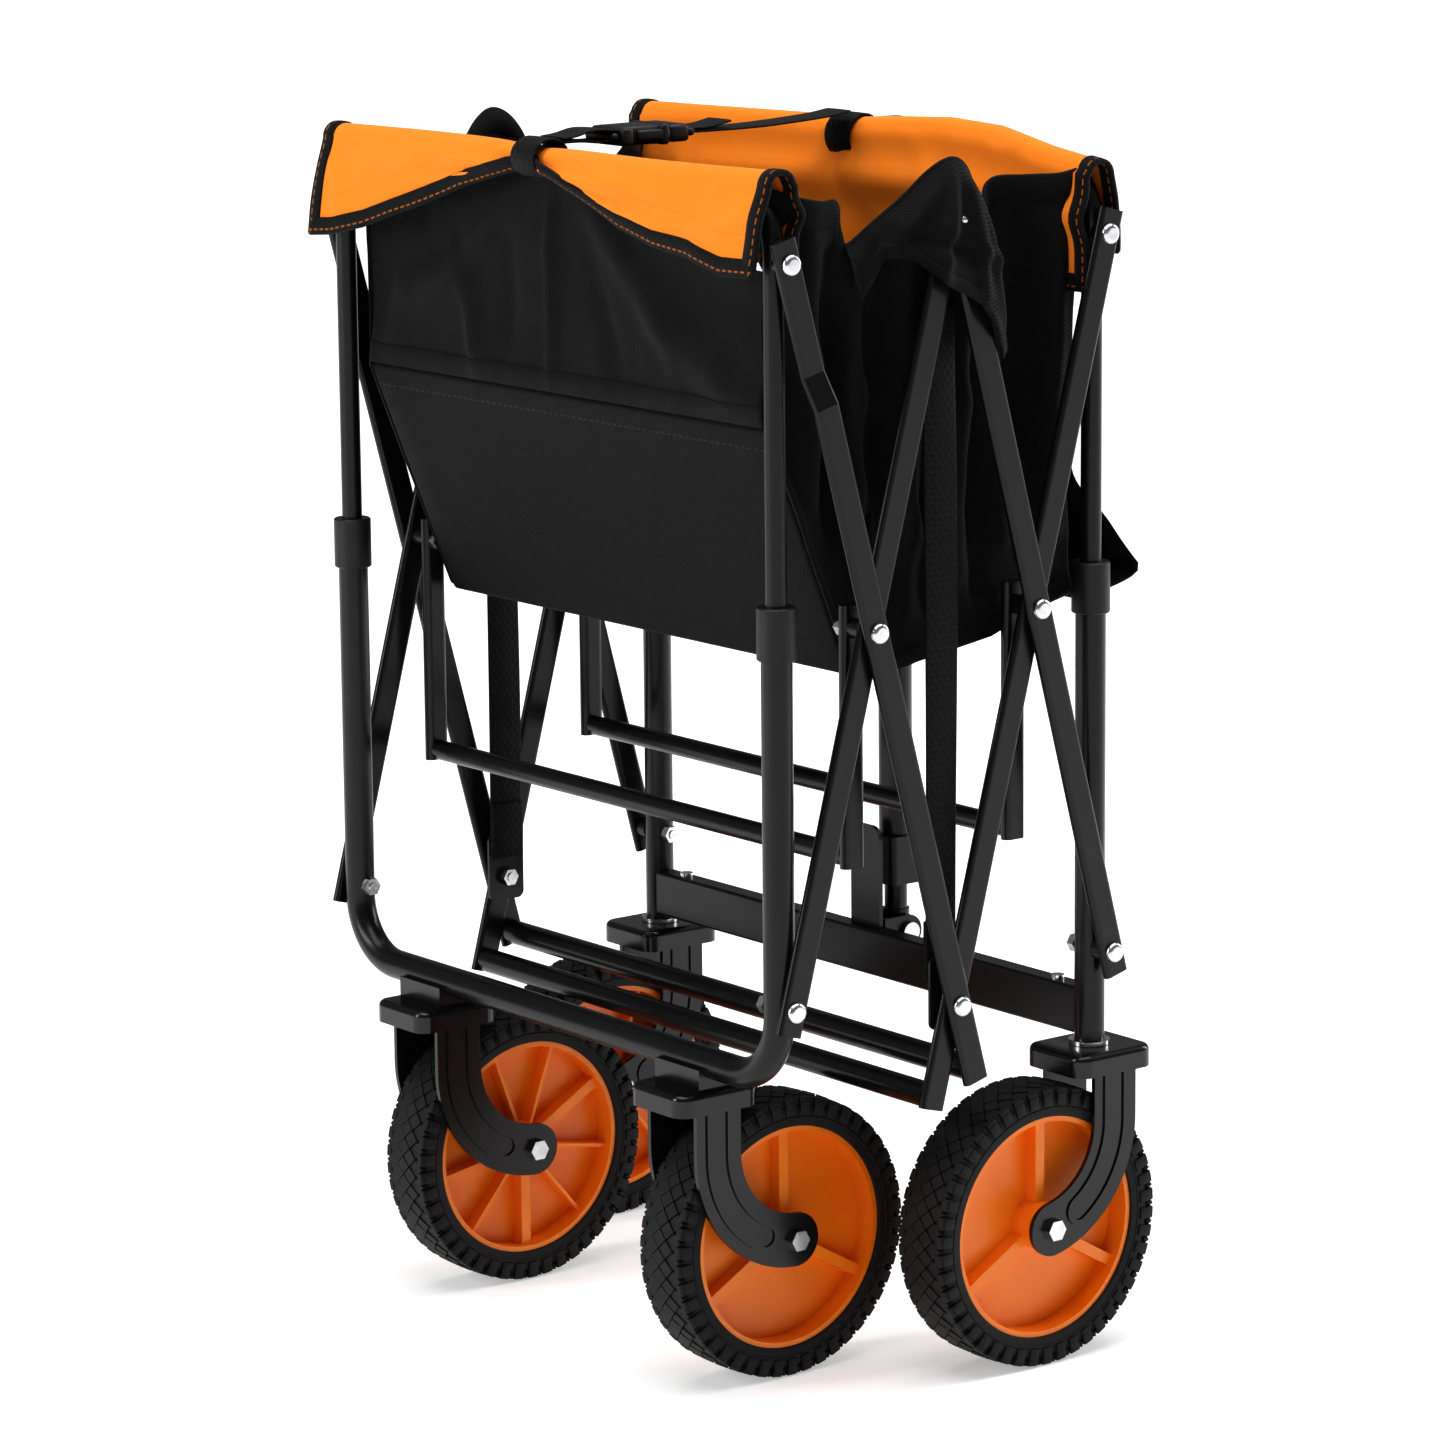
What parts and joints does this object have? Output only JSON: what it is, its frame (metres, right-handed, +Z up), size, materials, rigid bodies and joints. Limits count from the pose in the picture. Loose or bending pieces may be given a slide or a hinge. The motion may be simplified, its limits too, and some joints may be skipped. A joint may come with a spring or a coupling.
{
  "type": "folding utility wagon",
  "caption": "Folding utility wagon shown folded: tube frame with side scissor bars, cloth bag, swivel front wheels and a telescopic pull handle.",
  "frame": {"origin": "on the ground, under the middle of the overall length and width of the folded wagon", "axes": "+X forward, the way the wagon is pulled; +Y to its left; +Z up"},
  "size_m": [0.3186, 0.4988, 0.764],
  "materials": {
    "painted_steel": "satin powder coat",
    "black_plastic": "fine texture",
    "orange_plastic": "semi-gloss",
    "rubber": "matt",
    "zinc": "zinc plated",
    "orange_cloth": "coated polyester",
    "black_cloth": "woven polyester",
    "webbing": "woven webbing"
  },
  "bodies": {
    "rear_lower_frame": {"rear_lower_tube": "painted_steel", "rear_sleeves": "black_plastic", "rear_forks": "painted_steel", "rear_frame_bolts": "zinc"},
    "link_b": {"link_b_bars": "painted_steel"},
    "link_a": {"link_a_bars": "painted_steel", "link_a_cross": "painted_steel", "link_a_bolts": "zinc"},
    "rear_upper_frame": {"rear_upper_tube": "painted_steel", "rear_top_bolts": "zinc", "rear_flap": "orange_cloth", "bag_rear_wall": "black_cloth", "bag_left_wall": "black_cloth", "bag_right_wall": "black_cloth"},
    "link_d": {"link_d_bars": "painted_steel", "link_d_cross": "painted_steel", "link_d_bolts": "zinc"},
    "link_c": {"link_c_bars": "painted_steel", "link_c_bolts": "zinc"},
    "front_lower_frame": {"front_lower_tubes": "painted_steel", "front_sleeves": "black_plastic", "front_crossbar": "painted_steel", "front_frame_bolts": "zinc", "front_bearings": "zinc"},
    "front_upper_frame": {"front_upper_tube": "painted_steel", "front_top_bolts": "zinc", "front_flap": "orange_cloth", "bag_front_wall": "black_cloth"},
    "support_rear": {"support_rear": "painted_steel"},
    "support_front": {"support_front": "painted_steel"},
    "centre_straps": {"strap_plates": "painted_steel", "side_strap_left": "webbing", "side_strap_right": "webbing"},
    "bag_rear_hem": {"bag_rear_hem": "black_cloth"},
    "bag_front_hem": {"bag_front_hem": "black_cloth"},
    "board_1": {"board_1": "black_cloth"},
    "board_2": {"board_2": "black_cloth"},
    "board_3": {"board_3": "black_cloth"},
    "board_4": {"board_4": "black_cloth"},
    "bag_side_edge": {"bag_corner_tabs": "black_cloth"},
    "strap_rear": {"strap_rear_half": "webbing", "buckle_socket": "black_plastic"},
    "strap_front": {"strap_front_half": "webbing", "buckle_plug": "black_plastic"},
    "caster_left": {"caster_fork_left": "painted_steel", "caster_axle_left": "zinc"},
    "caster_right": {"caster_fork_right": "painted_steel", "caster_axle_right": "zinc"},
    "wheel_front_left": {"rim_front_left": "orange_plastic", "tyre_front_left": "rubber"},
    "wheel_front_right": {"rim_front_right": "orange_plastic", "tyre_front_right": "rubber"},
    "wheel_rear_left": {"rim_rear_left": "orange_plastic", "tyre_rear_left": "rubber"},
    "wheel_rear_right": {"rim_rear_right": "orange_plastic", "tyre_rear_right": "rubber"},
    "handle_lower": {"handle_lower": "painted_steel"},
    "handle_upper": {"handle_collar": "black_plastic", "handle_outer_tube": "painted_steel", "handle_grip": "black_plastic"}
  },
  "joints": [
    {"name": "fold", "type": "hinge", "parent": "rear_lower_frame", "child": "link_b", "pos_m": [-0.12825, 0, 0.2571], "axis": [0, 1, 0], "range_deg": [0, 40]},
    {"name": "link_a_turn", "type": "hinge", "parent": "link_b", "child": "link_a", "pos_m": [-0.06844, 0, 0.47991], "axis": [0, -1, 0], "range_deg": [0, 80.01]},
    {"name": "rear_upper_turn", "type": "hinge", "parent": "link_a", "child": "rear_upper_frame", "pos_m": [-0.12825, 0, 0.70273], "axis": [0, 1, 0], "range_deg": [0, 40.01]},
    {"name": "link_d_turn", "type": "hinge", "parent": "link_a", "child": "link_d", "pos_m": [-0.00475, 0, 0.24261], "axis": [0, 1, 0], "range_deg": [0, 80.01]},
    {"name": "link_c_turn", "type": "hinge", "parent": "link_d", "child": "link_c", "pos_m": [0.05894, 0, 0.47991], "axis": [0, -1, 0], "range_deg": [0, 80.01]},
    {"name": "front_lower_turn", "type": "hinge", "parent": "link_c", "child": "front_lower_frame", "pos_m": [0.11875, 0, 0.2571], "axis": [0, 1, 0], "range_deg": [0, 40.01]},
    {"name": "front_upper_turn", "type": "hinge", "parent": "link_d", "child": "front_upper_frame", "pos_m": [0.11875, 0, 0.70273], "axis": [0, -1, 0], "range_deg": [0, 40.01]},
    {"name": "support_rear_turn", "type": "hinge", "parent": "link_a", "child": "support_rear", "pos_m": [-0.06844, 0, 0.47991], "axis": [0, 1, 0], "range_deg": [0, 40.01]},
    {"name": "support_front_turn", "type": "hinge", "parent": "link_d", "child": "support_front", "pos_m": [0.05894, 0, 0.47991], "axis": [0, -1, 0], "range_deg": [0, 40.01]},
    {"name": "centre_straps_turn", "type": "hinge", "parent": "link_a", "child": "centre_straps", "pos_m": [-0.00475, 0, 0.24261], "axis": [0, 1, 0], "range_deg": [0, 40.01], "deforming": ["side_strap_left", "side_strap_right"]},
    {"name": "front_hem_slide", "type": "slide", "parent": "front_upper_frame", "child": "bag_front_hem", "axis": [-0.26, 0, -0.9656], "range_m": [0, 0.04232], "deforming": ["bag_front_wall"]},
    {"name": "board_4_turn", "type": "hinge", "parent": "bag_front_hem", "child": "board_4", "pos_m": [0.12125, 0, 0.482], "axis": [0, 1, 0], "range_deg": [0, 12.67]},
    {"name": "board_3_turn", "type": "hinge", "parent": "board_4", "child": "board_3", "pos_m": [-0.03952, 0, 0.44896], "axis": [0, -1, 0], "range_deg": [0, 111.51]},
    {"name": "board_2_turn", "type": "hinge", "parent": "board_3", "child": "board_2", "pos_m": [-0.01495, 0, 0.66552], "axis": [0, 1, 0], "range_deg": [0, 180.85]},
    {"name": "board_1_turn", "type": "hinge", "parent": "board_2", "child": "board_1", "pos_m": [-0.05416, 0, 0.45113], "axis": [0, -1, 0], "range_deg": [0, 150.01]},
    {"name": "rear_hem_slide", "type": "slide", "parent": "rear_upper_frame", "child": "bag_rear_hem", "axis": [-0.0083, 0, -1], "range_m": [0, 0.16103], "deforming": ["bag_rear_wall"]},
    {"name": "bag_side_slide", "type": "slide", "parent": "rear_upper_frame", "child": "bag_side_edge", "axis": [1, 0, 0], "range_m": [0, 0.53373], "deforming": ["bag_left_wall", "bag_right_wall"]},
    {"name": "strap_rear_swing", "type": "hinge", "parent": "rear_upper_frame", "child": "strap_rear", "pos_m": [-0.11475, 0, 0.758], "axis": [0, 1, 0], "range_deg": [0, 80.01]},
    {"name": "strap_front_swing", "type": "hinge", "parent": "front_upper_frame", "child": "strap_front", "pos_m": [0.10525, 0, 0.758], "axis": [0, -1, 0], "range_deg": [0, 80.01]},
    {"name": "caster_left_swivel", "type": "hinge", "parent": "front_lower_frame", "child": "caster_left", "pos_m": [0.11875, 0.2204, 0.195], "axis": [0, 0, -1], "range_deg": [-15, 285]},
    {"name": "wheel_front_left_spin", "type": "hinge", "parent": "caster_left", "child": "wheel_front_left", "pos_m": [0.06755, 0.2204, 0.089], "axis": [0, 1, 0], "continuous": true},
    {"name": "wheel_rear_left_spin", "type": "hinge", "parent": "rear_lower_frame", "child": "wheel_rear_left", "pos_m": [-0.06825, 0.136, 0.089], "axis": [0, 1, 0], "continuous": true},
    {"name": "caster_right_swivel", "type": "hinge", "parent": "front_lower_frame", "child": "caster_right", "pos_m": [0.11875, -0.2204, 0.195], "axis": [0, 0, 1], "range_deg": [-15, 285]},
    {"name": "wheel_front_right_spin", "type": "hinge", "parent": "caster_right", "child": "wheel_front_right", "pos_m": [0.06755, -0.2204, 0.089], "axis": [0, 1, 0], "continuous": true},
    {"name": "wheel_rear_right_spin", "type": "hinge", "parent": "rear_lower_frame", "child": "wheel_rear_right", "pos_m": [-0.06825, -0.136, 0.089], "axis": [0, 1, 0], "continuous": true},
    {"name": "handle_swing", "type": "hinge", "parent": "front_lower_frame", "child": "handle_lower", "pos_m": [0.14525, 0, 0.225], "axis": [0, 1, 0], "range_deg": [0, 100]},
    {"name": "handle_extend", "type": "slide", "parent": "handle_lower", "child": "handle_upper", "axis": [0, 0, 1], "range_m": [0, 0.34]}
  ],
  "couplings": [
    {"joint": "link_a_turn", "follows": "fold", "ratio": 2},
    {"joint": "rear_upper_turn", "follows": "fold", "ratio": 1},
    {"joint": "link_d_turn", "follows": "fold", "ratio": 2},
    {"joint": "link_c_turn", "follows": "fold", "ratio": 2},
    {"joint": "front_lower_turn", "follows": "fold", "ratio": 1},
    {"joint": "front_upper_turn", "follows": "fold", "ratio": 1},
    {"joint": "support_rear_turn", "follows": "fold", "ratio": 1},
    {"joint": "support_front_turn", "follows": "fold", "ratio": 1},
    {"joint": "centre_straps_turn", "follows": "fold", "ratio": 1},
    {"joint": "front_hem_slide", "follows": "fold", "m_per_rad": 0.060609},
    {"joint": "board_4_turn", "follows": "fold", "ratio": 0.3165},
    {"joint": "board_3_turn", "follows": "fold", "ratio": 2.7875},
    {"joint": "board_2_turn", "follows": "fold", "ratio": 4.521},
    {"joint": "board_1_turn", "follows": "fold", "ratio": 3.75},
    {"joint": "rear_hem_slide", "follows": "fold", "m_per_rad": 0.23065},
    {"joint": "bag_side_slide", "follows": "fold", "m_per_rad": 0.7645},
    {"joint": "strap_rear_swing", "follows": "fold", "ratio": 2},
    {"joint": "strap_front_swing", "follows": "fold", "ratio": 2}
  ]
}
